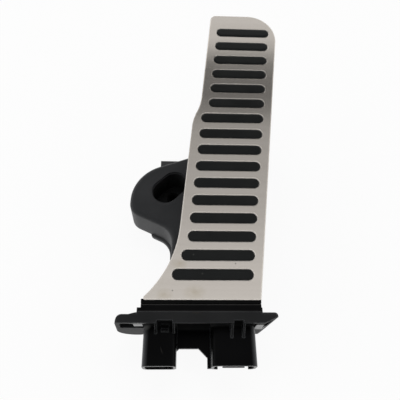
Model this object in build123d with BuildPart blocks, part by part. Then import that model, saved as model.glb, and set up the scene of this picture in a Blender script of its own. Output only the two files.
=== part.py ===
"""Floor-hinged accelerator pedal: slotted steel tread on a hinged plate, a rocker and sensor housing behind it."""
import os
from math import atan2, cos, degrees, hypot, radians, sin, tan

from build123d import *

os.makedirs("parts", exist_ok=True)

# Driving dimensions, in millimetres and degrees.
# Places are given from the heel hinge: x to the right of its middle, y up the pedal, z off the mounting face.
# The part's own origin is the fixing bolt's axis on the mounting face.
bolt_x = -20.0
bolt_y = 99.0
hinge_z = 44.0
rest_slope = 12.5
pedal_travel = 12.5

# Tread: v runs up the tread from the hinge axis, and heights are over that axis, square to the tread
tread_face = 3.2
tread_lean = 5.8
tread_start = 4.0
tread_length = 219.2
tread_right = 38.5
tip_width = 52.6
middle_width = 57.0
heel_width = 76.6
jog_top = 149.5
jog_bottom = 125.0
flare_top = 51.0
tip_right_radius = 21.5
tip_left_radius = 4.5
heel_corner_radius = 1.2
bend_start = 131.0
bend_angle = 1.0
bend_radius = 400.0
bend_ramp = 20.0

# Steel facing, rubber mat and pedal plate
steel_thickness = 1.0
steel_edge = 0.2
slot_pitch = 12.5
first_slot = 19.8
slot_width = 7.0
slot_margin = 6.0
slot_tip_margin = 12.0
heel_slot_growth = [7.4, 2.8]
mat_thickness = 1.2
mat_margin = 3.0
rib_gap = 0.15
rib_stand = 0.7
rib_chamfer = 0.5
plate_inset = 0.6
plate_skin = 2.2
plate_skirt = 2.0
plate_depth = 4.8
plate_rib = 1.6
plate_rib_pitch = 28.0
plate_rib_clear = 8.0
hinge_web = 2.0
band_overlap = 0.1
bead_radius = 1.6
running_gap = 0.05
body_gap = 0.4

# Hinge strip at the heel
strip_length = 78.8
strip_top = 1.2
strip_bottom = -3.5
strip_end_top = -1.0
strip_back = 4.5
strip_front = 2.1
mouth_front = 62.0
mouth_back = -50.0

# Moulded housing
front_z = 30.0
wall = 2.5
cover_thickness = 3.0
housing_left = -19.7
housing_right = 36.0
housing_top = 132.0
housing_corner = 10.0
shoulder_x = 6.0
lobe_top_x = -31.0
lobe_top_y = 117.6
lobe_left = -52.3
lobe_low_y = 76.6
lobe_fall = 0.48
lobe_corner = 11.0
neck_radius = 15.7
front_round = 3.2
cavity_start = 0.0
lobe_rib = 2.0
side_rib = 1.6
side_rib_stand = 1.2
side_rib_first = 20.0
side_rib_pitch = 20.0
side_rib_count = 5

# Bolt pocket, its steel sleeve and the boss round it
pocket_shift = (-2.0, -1.8)
pocket_length = 10.4
pocket_radius = 9.7
pocket_tilt = 45.6
pocket_floor = 8.0
pocket_wall = 2.2
pocket_lip = 0.8
pocket_lip_depth = 1.2
sleeve_radius = 5.0
sleeve_bore = 3.3
sleeve_stand = 1.5
boss_wall = 3.0

# Floor flange, its legs and the bar that carries the hinge strip
flange_back = 20.0
flange_left = -54.6
flange_left_lean = 2.0
flange_right = 50.2
flange_slant = 8.2
flange_wall = 2.2
flange_rim = 2.7
flange_depth = 6.9
flange_round = 2.4
flange_edge = 2.2
flange_inner_round = 1.5
lug_back = 10.2
lug_outer_round = 12.5
lug_outer_share = 0.7
lug_inner_round = 4.0
lug_inner_share = 0.22
right_lug_back = 12.5
right_lug_round = 2.0
right_lug_share = 0.42
left_lug_gap = 0.8
right_lug_gap = 1.2
ear_floor = 31.8
ear_drop = 1.6
ear_ramp = 5.0
ear_round = 4.2
tip_cut = 9.4
tip_cut_angle = 25.0
left_foot_rib = (-41.5, 36.5, 42.5)
right_foot_rib = (40.7, 31.9, 40.5)
skirt_notch = 1.7
bar_inset = 5.0
bar_depth = 11.5
bar_top = 4.0
leg_back = 20.0
leg_front = 36.0
leg_wall = 1.8
leg_length = 28.3
leg_corner = 4.2
leg_floor = 4.0
left_leg = (-35.7, -14.4)
right_leg = (7.5, 36.0)
leg_rib_x = -23.2
leg_rib = 1.6
leg_rib_recess = 1.5
tongue_slits = ((12.0, 15.2), (29.4, 31.7))
tongue_slit_length = 9.0
tongue_step = 0.9
web_back = 22.0
web_thickness = 2.5
web_length = 16.3
web_chamfer = 5.6
web_small_chamfer = 1.5
web_edge = 2.2
gusset = 1.5
gusset_reach = 8.0
left_gussets = (-28.3, -17.0)
right_gussets = (19.7, 27.1)
left_gusset_drop = 4.5
right_gusset_drop = 7.0
latch_width = 4.8
latch_height = 2.2
latch_stand = 1.8
latch_drop = 2.4
latch_recess = 1.0
latch_recess_height = 2.8

# Linkage: every centre as (y, z), all in one plane across the part
link_x = 14.0
pedal_ball = (92.0, 56.5)
lever_ball = (108.0, 35.0)
pivot = (50.0, 18.5)
lever_turn = 18.0
rod_turn = 17.6
pedal_ball_radius = 4.0
lever_ball_radius = 3.5
rod_radius = 2.0
cup_wall = 2.2
cup_lip = 1.0
open_gap = 0.4
link_slot_width = 17.0
link_slot_start = 65.0
link_slot_end = 118.0
link_slot_corner = 4.2

# Rocker lever, its shaft and bushes
lever_thickness = 9.0
lever_arm = 3.5
socket_wall = 2.4
hub_radius = 6.0
hub_length = 17.4
shaft_radius = 3.0
shaft_chamfer = 0.4
bush_wall = 1.6
bush_flange = 1.4
bush_flange_wall = 1.2
cheek_thickness = 4.0
cheek_height = 16.0
cheek_width = 16.0
tail_length = 24.0
tail_half = 3.2
finger_length = 10.0
finger_radius = 1.5
finger_neck = 2.0

# Return springs on the lever's tail
outer_spring_radius = 6.6
outer_spring_wire = 1.3
outer_spring_turns = 5.0
inner_spring_radius = 4.0
inner_spring_wire = 1.0
inner_spring_turns = 6.0
seat_thickness = 1.6
seat_peg = 1.6
seat_peg_radius = 2.9
seat_peg_chamfer = 0.5
dome_top = 36.5
dome_wall = 2.0
dome_round = 1.5
dome_gap = 1.0
spring_gap = 0.15
wire_sides = 8

# Sensor: board, sliding target and plug socket
board_width = 19.0
board_start = 32.0
board_end = 124.0
board_thickness = 1.6
board_stand = 0.6
board_corner = 1.2
post_foot = 1.8
post_pin = 0.6
post_head = 0.3
post_inset = 2.4
lamina_gap = 0.5
lamina_thickness = 0.4
lamina_inset = 1.1
lamina_corner = 2.2
carrier_width = 19.0
carrier_length = 26.0
carrier_thickness = 3.9
tongue_reach = 1.2
tongue_thickness = 1.4
slide_gap = 0.35
rail_width = 2.2
rail_length = 34.0
chip_size = (7.0, 9.0, 1.3)
chip_place = 84.0
small_chip = (1.6, 3.2, 0.8)
small_chip_count = 5
small_chip_pitch = 3.2
small_chip_place = 97.0
pin_count = 6
pin_pitch = 3.4
pin_size = 1.0
pin_z = 10.0
pin_root = 3.0
pin_reach = 12.0
pin_window = 5.0
socket_length = 17.7
socket_width = 27.0
socket_height = 13.0
socket_shell = 1.8
socket_latch = 1.5
socket_latch_width = 9.0

# Rear cover, its seal and screws
cover_start = -1.5
cover_left = -37.0
cover_lip = 1.6
cover_corner = 4.0
cover_tab_x = -32.0
cover_tab_y = 141.0
cover_tab_right = -6.0
cover_gap = 0.4
seal_width = 1.2
seal_depth = 0.9
seal_land = 0.6
screw_radius = 1.5
screw_head = 2.7
screw_head_height = 1.7
screw_sink = 0.4
screw_recess = 0.8
screw_length = 12.0
screw_boss = 3.4
screw_places = [(-13.2, 6.2), (30.0, 6.2), (-13.2, 73.0), (30.0, 73.0), (-8.5, 119.5), (30.0, 121.0)]

# Rubber stops
stop_place = (28.3, 104.0)
stop_radius = 4.4
stop_pad_radius = 5.5
stop_peg = 2.0
stop_chamfer = 1.1
rest_radius = 4.5
rest_chamfer = 1.5

# Worked out from the above
tread_end = tread_start + tread_length
slot_count = int((tread_end - slot_tip_margin - first_slot) / slot_pitch) + 1
lean = tan(radians(tread_lean))
plate_front = tread_face - steel_thickness
skin_top = plate_front - mat_thickness
skin_back = skin_top - plate_skin
plate_back = skin_back - plate_depth
flange_top = strip_bottom
flange_front = hinge_z + strip_front
flange_low = flange_top - flange_depth
leg_start = flange_top - flange_wall
cavity_top = front_z - wall
pocket_x = bolt_x + pocket_shift[0]
pocket_y = bolt_y + pocket_shift[1]
tip_shift = tread_right - tip_width
middle_shift = tread_right - middle_width
heel_left = tread_right + lean * tread_start - heel_width
band_left = heel_left + plate_inset
band_right = tread_right + lean * tread_start
band_start = bead_radius + running_gap + body_gap
band_end = tread_start + plate_inset + band_overlap
rod_length = hypot(lever_ball[0] - pedal_ball[0], lever_ball[1] - pedal_ball[1])
rod_angle = degrees(atan2(lever_ball[1] - pedal_ball[1], lever_ball[0] - pedal_ball[0]))
tail_angle = 180 + lever_turn / 2
tail_end = (pivot[0] + tail_length * cos(radians(tail_angle)), pivot[1] + tail_length * sin(radians(tail_angle)))
finger_angle = -90 + lever_turn / 2
finger_tip = (pivot[0] + finger_length * cos(radians(finger_angle)),
              pivot[1] + finger_length * sin(radians(finger_angle)))
board_z = cover_thickness + board_stand
board_top = board_z + board_thickness
lamina_z = board_top + lamina_gap
carrier_z = lamina_z + lamina_thickness
tongue_z = carrier_z + (carrier_thickness - tongue_thickness) / 2
seat_low = tail_end[1] + tail_half
seat_top = seat_low + seat_thickness
dome_inner = dome_top - dome_wall
spring_low = seat_top + spring_gap
spring_high = dome_inner - spring_gap
dome_radius = outer_spring_radius + outer_spring_wire / 2 + dome_gap
bush_radius = shaft_radius + running_gap + bush_wall
cup_radius = pedal_ball_radius + running_gap + cup_wall
socket_end = housing_top + body_gap + socket_length
pin_first = link_x - pin_pitch * (pin_count - 1) / 2


def level(z):
    """Plan plane at a height off the mounting face, with its origin under the heel hinge's middle."""
    return Plane(origin=(-bolt_x, -bolt_y, z))


def side(x):
    """Plane across the part, looking along X: y runs up the pedal and z off the mounting face."""
    return Plane(origin=(x - bolt_x, -bolt_y, 0), x_dir=(0, 1, 0), z_dir=(1, 0, 0))


def heel_view(y):
    """Plane seen from the heel, where extruding goes down towards the floor spigots."""
    return Plane(origin=(-bolt_x, y - bolt_y, 0), x_dir=(1, 0, 0), z_dir=(0, -1, 0))


def spot(x, place, turn=(1, 0, 0)):
    """Plane on a linkage centre."""
    return Plane(origin=(x - bolt_x, place[0] - bolt_y, place[1]), z_dir=turn)


slope = radians(rest_slope)
up_tread = (0, cos(slope), sin(slope))
off_tread = (0, -sin(slope), cos(slope))
hinge = (-bolt_x, -bolt_y, hinge_z)
tread = Plane(origin=hinge, x_dir=(1, 0, 0), z_dir=off_tread)
tread_side = Plane(origin=hinge, x_dir=up_tread, z_dir=(1, 0, 0))
ball_v = pedal_ball[0] * cos(slope) + (pedal_ball[1] - hinge_z) * sin(slope)
ball_height = (pedal_ball[1] - hinge_z) * cos(slope) - pedal_ball[0] * sin(slope)


def tread_plan(inset):
    """Tread outline, drawn in by an inset: leaning sides, a jog on the left and a flare at the heel."""
    jog_start = (tip_shift + lean * jog_top, jog_top)
    jog_end = (middle_shift + lean * jog_bottom, jog_bottom)
    jog_middle = ((jog_start[0] + jog_end[0]) / 2, (jog_start[1] + jog_end[1]) / 2)
    flare_start = (middle_shift + lean * flare_top, flare_top)
    heel_right = (tread_right + lean * tread_start, tread_start)
    tip_right = (tread_right + lean * tread_end, tread_end)
    tip_left = (tip_shift + lean * tread_end, tread_end)
    with BuildSketch() as plan:
        with BuildLine():
            Polyline((heel_left, tread_start), heel_right, tip_right, tip_left, jog_start)
            TangentArc(jog_start, jog_middle, tangent=(-lean, -1))
            TangentArc(jog_end, jog_middle, tangent=(lean, 1))
            Line(jog_end, flare_start)
            TangentArc(flare_start, (heel_left, tread_start), tangent=(-lean, -1))
        make_face()
        fillet(plan.vertices().sort_by_distance(tip_right)[0], tip_right_radius)
        fillet(plan.vertices().sort_by_distance(tip_left)[0], tip_left_radius)
        fillet(plan.vertices().sort_by_distance((heel_left, tread_start))[0], heel_corner_radius)
        if inset:
            offset(amount=-inset)
    return plan.sketch


def slot_plan(inset):
    """The row of round-ended slots, each drawn in by an inset."""
    with BuildSketch() as slots:
        for number in range(slot_count):
            v = first_slot + slot_pitch * number
            left_shift = tip_shift if v > (jog_top + jog_bottom) / 2 else middle_shift
            left = left_shift + lean * v + slot_margin
            if number < len(heel_slot_growth):
                left -= heel_slot_growth[number]
            right = tread_right + lean * v - slot_margin
            with Locations(((left + right) / 2, v)):
                SlotOverall(right - left - 2 * inset, slot_width - 2 * inset)
    return slots.sketch


def bent_edge(height):
    """Side line of the tread at a height over the hinge axis, with its soft double bend."""
    with BuildLine() as edge:
        flat = Line((-tread_length, height), (bend_start, height))
        fall = JernArc(flat @ 1, flat % 1, bend_radius, -bend_angle)
        ramp = Line(fall @ 1, (fall @ 1) + (fall % 1) * bend_ramp)
        rise = JernArc(ramp @ 1, ramp % 1, bend_radius, bend_angle)
        Line(rise @ 1, (rise @ 1) + (rise % 1) * tread_length)
    return edge.wire()


def bent_slab(plan, low, high):
    """Plate cut to a plan, between two heights over the hinge axis, along the bent tread."""
    slack = bend_ramp
    lower = bent_edge(low)
    upper = bent_edge(high)
    with BuildPart() as slab:
        with BuildSketch(tread.offset(low - slack)):
            add(plan)
        extrude(amount=high - low + 2 * slack)
        with BuildSketch(tread_side):
            with BuildLine():
                add(lower)
                add(upper)
                Line(lower @ 0, upper @ 0)
                Line(lower @ 1, upper @ 1)
            make_face()
        extrude(amount=tread_length, both=True, mode=Mode.INTERSECT)
    return slab.part


def top_faces(builder):
    """Faces of a tread piece that look at the driver."""
    return builder.faces().filter_by(lambda face: face.normal_at().dot(Vector(*off_tread)) > cos(slope))


def housing_plan():
    """Housing outline with the bolt lobe on its left."""
    shoulder = (shoulder_x, housing_top)
    lobe_top = (lobe_top_x, lobe_top_y)
    fall = (lobe_top_x - shoulder_x, lobe_top_y - housing_top)
    half_turn = radians(270 - (180 + degrees(atan2(-fall[1], -fall[0])))) / 2
    lobe_side_y = lobe_top_y - (lobe_top_x - lobe_left) * tan(radians(90) - half_turn)
    neck = (housing_left, lobe_low_y - lobe_fall * (housing_left - lobe_left))
    low_corner = (lobe_left, lobe_low_y)
    right_corner = (housing_right, housing_top)
    with BuildSketch() as plan:
        with BuildLine():
            Polyline(lobe_top, shoulder, right_corner, (housing_right, leg_start), (housing_left, leg_start),
                     neck, low_corner, (lobe_left, lobe_side_y))
            TangentArc(lobe_top, (lobe_left, lobe_side_y), tangent=fall)
        make_face()
        fillet(plan.vertices().sort_by_distance(right_corner)[0], housing_corner)
        fillet(plan.vertices().sort_by_distance(low_corner)[0], lobe_corner)
        fillet(plan.vertices().sort_by_distance(neck)[0], neck_radius)
    return plan.sketch


def pocket_plan(grow):
    """Oval of the bolt pocket, grown by an amount."""
    with BuildSketch() as oval:
        with Locations((pocket_x, pocket_y)):
            SlotCenterToCenter(pocket_length, 2 * (pocket_radius + grow), rotation=pocket_tilt)
    return oval.sketch


def cavity_plan(grow):
    """Plan of the mechanism's space right of the lobe, grown by an amount."""
    reach = 2 * housing_top
    with BuildSketch() as space:
        add(housing_plan())
        offset(amount=grow - wall)
        with Locations((housing_left + wall - grow, housing_top / 2)):
            Rectangle(reach, reach, align=(Align.MAX, Align.CENTER), mode=Mode.SUBTRACT)
        with Locations((0, cavity_start - grow)):
            Rectangle(reach, reach, align=(Align.CENTER, Align.MAX), mode=Mode.SUBTRACT)
        add(pocket_plan(pocket_wall - grow), mode=Mode.SUBTRACT)
    return space.sketch


def lobe_hollow_plan():
    """Plan of the lobe's hollow back, with its ribs left standing."""
    reach = 2 * housing_top
    with BuildSketch() as hollow:
        add(housing_plan())
        offset(amount=-wall)
        with Locations((housing_left, housing_top / 2)):
            Rectangle(reach, reach, align=(Align.MIN, Align.CENTER), mode=Mode.SUBTRACT)
        add(pocket_plan(pocket_wall), mode=Mode.SUBTRACT)
        with Locations((pocket_x, pocket_y)):
            Rectangle(reach, lobe_rib, align=(Align.MAX, Align.CENTER), mode=Mode.SUBTRACT)
            Rectangle(reach, lobe_rib, rotation=pocket_tilt + 90, mode=Mode.SUBTRACT)
    return hollow.sketch


def flange_plan():
    """Floor flange seen from the heel: a straight front, leaning ends and a lug behind each end."""
    left_front = (flange_left + flange_left_lean, flange_front)
    right_front = (flange_right, flange_front)
    right_low = (flange_right - flange_slant, right_lug_back)
    left_low = (flange_left, lug_back)
    left_inner = left_leg[0] - left_lug_gap
    right_inner = right_leg[1] + right_lug_gap
    outer_round = min(lug_outer_round, lug_outer_share * (left_inner - flange_left))
    inner_round = min(lug_inner_round, lug_inner_share * (left_inner - flange_left))
    right_round = min(right_lug_round, right_lug_share * (right_low[0] - right_inner))
    with BuildSketch() as plan:
        with BuildLine():
            Polyline(left_front, right_front, right_low, (right_inner, right_lug_back), (right_inner, flange_back),
                     (left_inner, flange_back), (left_inner, lug_back), left_low, close=True)
        make_face()
        for corner, radius in ((left_front, flange_round), (right_front, flange_round),
                               (left_low, outer_round), ((left_inner, lug_back), inner_round),
                               (right_low, right_round), ((right_inner, right_lug_back), right_round),
                               ((left_inner, flange_back), flange_inner_round),
                               ((right_inner, flange_back), flange_inner_round)):
            fillet(plan.vertices().sort_by_distance(corner)[0], radius)
    return plan.sketch


# Floor flange: a tray with a rounded front edge, hollow behind its skirt, moulded as part of the base housing
with BuildPart() as floor_flange:
    with BuildSketch(heel_view(flange_top)):
        add(flange_plan())
    extrude(amount=flange_depth)
    fillet(floor_flange.faces().sort_by(Axis.Y)[-1].edges(), flange_edge)
    # Land that the hinge strip stands flush on
    with BuildSketch(heel_view(flange_top)):
        with Locations((0, flange_front)):
            Rectangle(strip_length, flange_edge, align=(Align.CENTER, Align.MAX))
    extrude(amount=flange_edge)
    # The left ear is lower than the strip's land and round at its end, and the skirt runs out at the right tip
    reach = 2 * flange_right
    with BuildSketch(level(lug_back)):
        with BuildLine():
            ear_start = -strip_length / 2
            ear_top = flange_top - ear_drop
            ear_end = flange_left + flange_left_lean
            ear_low = (ear_end, ear_top - ear_round)
            Polyline((ear_end + ear_round, ear_top), (ear_start - ear_ramp, ear_top), (ear_start, flange_top),
                     (ear_start - reach, flange_top), (ear_start - reach, ear_low[1]), ear_low)
            TangentArc((ear_end + ear_round, ear_top), ear_low, tangent=(-1, 0))
        make_face()
        with BuildLine():
            cut_start = flange_right - tip_cut
            Polyline((cut_start, flange_low), (cut_start + reach, flange_low),
                     (cut_start + reach, flange_low + reach * tan(radians(tip_cut_angle))), close=True)
        make_face()
    extrude(amount=flange_front - lug_back, mode=Mode.SUBTRACT)
    # Hollow behind the skirt, shallower in the left ear, and deeper between the legs
    for depth_start, low_x, high_x, low_z in (
            (leg_start - ear_drop, flange_left, left_leg[0], ear_floor),
            (leg_start, left_leg[0], flange_right, ear_floor),
            (leg_start, left_leg[1], right_leg[0], web_back + web_thickness)):
        with BuildSketch(heel_view(depth_start)):
            add(flange_plan())
            offset(amount=-flange_rim)
            with Locations((low_x, low_z)):
                Rectangle(high_x - low_x, flange_front - low_z, align=Align.MIN, mode=Mode.INTERSECT)
        extrude(amount=depth_start - flange_low, mode=Mode.SUBTRACT)
    # Lugs hollowed from above
    with BuildSketch(heel_view(flange_top)):
        add(flange_plan())
        offset(amount=-flange_wall)
        with Locations((left_leg[0] - left_lug_gap - flange_wall, flange_front)):
            lug_spread = right_leg[1] + right_lug_gap - left_leg[0] + left_lug_gap
            Rectangle(lug_spread + 2 * flange_wall, 4 * flange_front, align=(Align.MIN, Align.CENTER),
                      mode=Mode.SUBTRACT)
        with Locations((0, ear_floor - flange_wall)):
            Rectangle(2 * reach, flange_front, align=(Align.CENTER, Align.MIN), mode=Mode.SUBTRACT)
    extrude(amount=flange_depth - flange_wall, mode=Mode.SUBTRACT)
    # Notches in the skirt between each pair of gussets, and a rib beside each leg
    for first, last in (left_gussets, right_gussets):
        with BuildSketch(heel_view(flange_low + skirt_notch)):
            with Locations((first + gusset, flange_front)):
                Rectangle(last - first - gusset, flange_rim, align=(Align.MIN, Align.MAX))
        extrude(amount=skirt_notch, mode=Mode.SUBTRACT)
    for (end, back, front), face in ((left_foot_rib, left_leg[0]), (right_foot_rib, right_leg[1])):
        with BuildSketch(heel_view(leg_start)):
            with Locations(((end + face) / 2, (back + front) / 2)):
                Rectangle(abs(end - face), front - back)
        extrude(amount=leg_start - flange_low)

# Base housing: the moulded shell, its lobe, the floor flange and the spigot legs
with BuildPart() as base_housing:
    with BuildSketch(level(cover_thickness)):
        add(housing_plan())
    extrude(amount=front_z - cover_thickness)
    fillet(base_housing.faces().sort_by(Axis.Z)[-1].edges(), front_round)
    with BuildSketch(level(cover_thickness)):
        add(cavity_plan(0))
    extrude(amount=cavity_top - cover_thickness, mode=Mode.SUBTRACT)
    with BuildSketch(level(cover_thickness)):
        add(lobe_hollow_plan())
    extrude(amount=cavity_top - cover_thickness, mode=Mode.SUBTRACT)
    # Stiffening ribs on the right wall, sloped off under the rounded front edge
    rib_low = cover_thickness
    rib_high = front_z - front_round
    for number in range(side_rib_count):
        with BuildSketch(heel_view(side_rib_first + side_rib_pitch * number)):
            with BuildLine():
                rib_face = housing_right + side_rib_stand
                Polyline((housing_right - wall / 2, rib_low), (rib_face, rib_low),
                         (rib_face, rib_high - 2 * side_rib_stand), (housing_right, rib_high),
                         (housing_right - wall / 2, rib_high), close=True)
            make_face()
        extrude(amount=side_rib)
    # Bolt pocket with its stepped lip, and the boss that holds the sleeve
    with BuildSketch(level(pocket_floor)):
        add(pocket_plan(0))
    extrude(amount=front_z, mode=Mode.SUBTRACT)
    with BuildSketch(level(front_z - pocket_lip_depth)):
        add(pocket_plan(pocket_lip))
    extrude(amount=pocket_lip_depth, mode=Mode.SUBTRACT)
    with BuildSketch(level(0)):
        with Locations((bolt_x, bolt_y)):
            Circle(sleeve_radius + boss_wall)
    extrude(amount=pocket_floor)
    with BuildSketch(level(0)):
        with Locations((bolt_x, bolt_y)):
            Circle(sleeve_radius)
    extrude(amount=pocket_floor, mode=Mode.SUBTRACT)
    # Dome over the return springs
    with BuildSketch(level(cavity_top)):
        with Locations((link_x, tail_end[0])):
            Circle(dome_radius + dome_wall)
    extrude(amount=dome_top - cavity_top)
    fillet(base_housing.faces().sort_by(Axis.Z)[-1].edges(), dome_round)
    with BuildSketch(level(cavity_top)):
        with Locations((link_x, tail_end[0])):
            Circle(dome_radius)
    extrude(amount=dome_inner - cavity_top, mode=Mode.SUBTRACT)
    # Slot that the rod and lever work through
    with BuildSketch(level(cavity_top)):
        with Locations((link_x, (link_slot_start + link_slot_end) / 2)):
            RectangleRounded(link_slot_width, link_slot_end - link_slot_start, link_slot_corner)
    extrude(amount=wall, mode=Mode.SUBTRACT)
    # Seat for the full-travel stop
    with BuildSketch(level(cavity_top)):
        with Locations(stop_place):
            Circle(stop_peg)
    extrude(amount=wall, mode=Mode.SUBTRACT)
    # Cheeks that carry the lever's shaft
    for edge in (-1, 1):
        inner = link_x + edge * (hub_length / 2 + body_gap + bush_flange_wall)
        with BuildSketch(side(inner)):
            with Locations((pivot[0], cavity_top)):
                Rectangle(cheek_width, cheek_height, align=(Align.CENTER, Align.MAX))
            with Locations(pivot):
                Circle(bush_radius, mode=Mode.SUBTRACT)
        extrude(amount=edge * cheek_thickness)
    # Bosses for the cover's screws
    with BuildSketch(level(cover_thickness)):
        with Locations(*screw_places):
            Circle(screw_boss)
            Circle(screw_radius, mode=Mode.SUBTRACT)
    extrude(amount=cavity_top - cover_thickness)
    # Window for the plug's pins
    with BuildSketch(heel_view(housing_top)):
        with Locations((link_x, pin_z)):
            Rectangle(pin_pitch * pin_count, pin_window)
    extrude(amount=2 * wall, mode=Mode.SUBTRACT)
    # Floor flange
    add(floor_flange.part)
    # Bar behind the hinge strip
    with BuildSketch(heel_view(bar_top)):
        with Locations((0, hinge_z - strip_back)):
            Rectangle(strip_length - 2 * bar_inset, bar_depth, align=(Align.CENTER, Align.MAX))
    extrude(amount=bar_top - leg_start)
    # Hollow spigot legs: a rib inside the left one, a spring tongue between slits at the back of the right one
    for left, right in (left_leg, right_leg):
        middle = ((left + right) / 2, (leg_back + leg_front) / 2)
        with BuildSketch(heel_view(leg_start)):
            with Locations(middle):
                RectangleRounded(right - left, leg_front - leg_back, leg_corner)
        extrude(amount=leg_length)
        with BuildSketch(heel_view(leg_start - leg_floor)):
            with Locations(middle):
                RectangleRounded(right - left - 2 * leg_wall, leg_front - leg_back - 2 * leg_wall,
                                 leg_corner - leg_wall)
        extrude(amount=leg_length, mode=Mode.SUBTRACT)
    with BuildSketch(heel_view(leg_start - leg_floor)):
        with Locations((leg_rib_x, (leg_back + leg_front) / 2)):
            Rectangle(leg_rib, leg_front - leg_back - leg_wall)
    extrude(amount=leg_length - leg_floor - leg_rib_recess)
    for left, right in tongue_slits:
        with BuildSketch(heel_view(leg_start - leg_length + tongue_slit_length)):
            with Locations(((left + right) / 2, leg_back)):
                Rectangle(right - left, 2 * leg_wall + body_gap)
        extrude(amount=tongue_slit_length, mode=Mode.SUBTRACT)
    with BuildSketch(heel_view(leg_start - leg_length + tongue_step)):
        with Locations(((tongue_slits[0][1] + tongue_slits[1][0]) / 2, leg_back)):
            Rectangle(tongue_slits[1][0] - tongue_slits[0][1], 2 * leg_wall + body_gap)
    extrude(amount=tongue_step, mode=Mode.SUBTRACT)
    # Web between the legs, with its slanted corner
    with BuildSketch(level(web_back)):
        with BuildLine():
            low = leg_start - web_length
            Polyline((left_leg[1], leg_start), (left_leg[1], low - web_small_chamfer),
                     (left_leg[1] + web_small_chamfer, low), (right_leg[0] - web_edge - web_chamfer, low),
                     (right_leg[0] - web_edge, low - web_chamfer),
                     (right_leg[0] - web_edge, leg_start - leg_length),
                     (right_leg[0] + leg_corner, leg_start - leg_length), (right_leg[0] + leg_corner, leg_start),
                     close=True)
        make_face()
        with Locations((right_leg[0] + leg_wall, leg_start - leg_floor)):
            Rectangle(leg_corner, leg_length, align=(Align.MIN, Align.MAX), mode=Mode.SUBTRACT)
    extrude(amount=web_thickness)
    # Gussets between the flange's skirt and the legs, and the left leg's latch
    for places, drop in ((left_gussets, left_gusset_drop), (right_gussets, right_gusset_drop)):
        for x in places:
            with BuildSketch(side(x)):
                with BuildLine():
                    Polyline((leg_start, leg_front), (leg_start, leg_front + gusset_reach),
                             (flange_low, leg_front + gusset_reach), (flange_low - drop, leg_front), close=True)
                make_face()
            extrude(amount=gusset)
    latch_x = (sum(left_gussets) + gusset) / 2
    with BuildSketch(level(leg_front)):
        with Locations((latch_x, flange_low - latch_drop)):
            Rectangle(latch_width, latch_height)
    extrude(amount=latch_stand)
    with BuildSketch(level(leg_front - latch_recess)):
        with Locations((latch_x, flange_low - latch_drop + latch_height / 2)):
            Rectangle(latch_width, latch_recess_height, align=(Align.CENTER, Align.MIN))
    extrude(amount=latch_recess, mode=Mode.SUBTRACT)

base_housing.part.label = "base_housing"
export_step(base_housing.part, "parts/base_housing.step")

# Hinge strip: a bar with a round groove that holds the pedal's bead
with BuildPart() as hinge_strip:
    with BuildSketch(side(-strip_length / 2)):
        with BuildLine():
            Polyline((strip_bottom, hinge_z - strip_back), (strip_top, hinge_z - strip_back),
                     (strip_top, hinge_z + strip_front), (strip_bottom, hinge_z + strip_front), close=True)
        make_face()
        with Locations((0, hinge_z)):
            Circle(bead_radius + running_gap, mode=Mode.SUBTRACT)
        mouth_reach = 4 * strip_back
        with BuildLine():
            Polyline((0, hinge_z),
                     (mouth_reach * cos(radians(mouth_back)), hinge_z + mouth_reach * sin(radians(mouth_back))),
                     (mouth_reach * cos(radians(mouth_front)), hinge_z + mouth_reach * sin(radians(mouth_front))),
                     close=True)
        make_face(mode=Mode.SUBTRACT)
    extrude(amount=strip_length)
    # The strip's ends are lower, beyond the pedal's bead
    for end, inner in ((-strip_length / 2, band_left), (strip_length / 2, band_right)):
        with BuildSketch(side(end)):
            with Locations((strip_end_top, hinge_z)):
                Rectangle(strip_top - strip_end_top, 4 * strip_back, align=(Align.MIN, Align.CENTER))
        extrude(amount=inner - end, mode=Mode.SUBTRACT)

hinge_strip.part.label = "hinge_strip"
export_step(hinge_strip.part, "parts/hinge_strip.step")

# Steel facing: slotted sheet with its double bend and eased edges
with BuildSketch() as facing_plan:
    add(tread_plan(0))
    add(slot_plan(0), mode=Mode.SUBTRACT)

with BuildPart() as steel_facing:
    add(bent_slab(facing_plan.sketch, plate_front, tread_face))
    face_edges = top_faces(steel_facing).edges()
    rim_edges = [edge for edge in face_edges if sum(edge.is_same(other) for other in face_edges) == 1]
    chamfer(rim_edges, steel_edge)

steel_facing.part.label = "steel_facing"
export_step(steel_facing.part, "parts/steel_facing.step")

# Rubber mat under the facing, with a crowned rib in each slot
with BuildPart() as tread_rubber:
    add(bent_slab(slot_plan(rib_gap), plate_front, tread_face + rib_stand))
    rib_edges = top_faces(tread_rubber).edges()
    chamfer([edge for edge in rib_edges if sum(edge.is_same(other) for other in rib_edges) == 1], rib_chamfer)
    add(bent_slab(tread_plan(mat_margin), skin_top, plate_front))

tread_rubber.part.label = "tread_rubber"
export_step(tread_rubber.part, "parts/tread_rubber.step")

# Pedal plate: skin with a recess for the mat, ribbed back, hinge bead and ball cup boss
with BuildSketch() as plate_plan:
    add(tread_plan(plate_inset))
    with Locations((band_left, band_start)):
        Rectangle(band_right - band_left, band_end - band_start, align=Align.MIN)

with BuildSketch() as rim_plan:
    add(plate_plan.sketch)
    add(tread_plan(mat_margin), mode=Mode.SUBTRACT)

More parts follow.
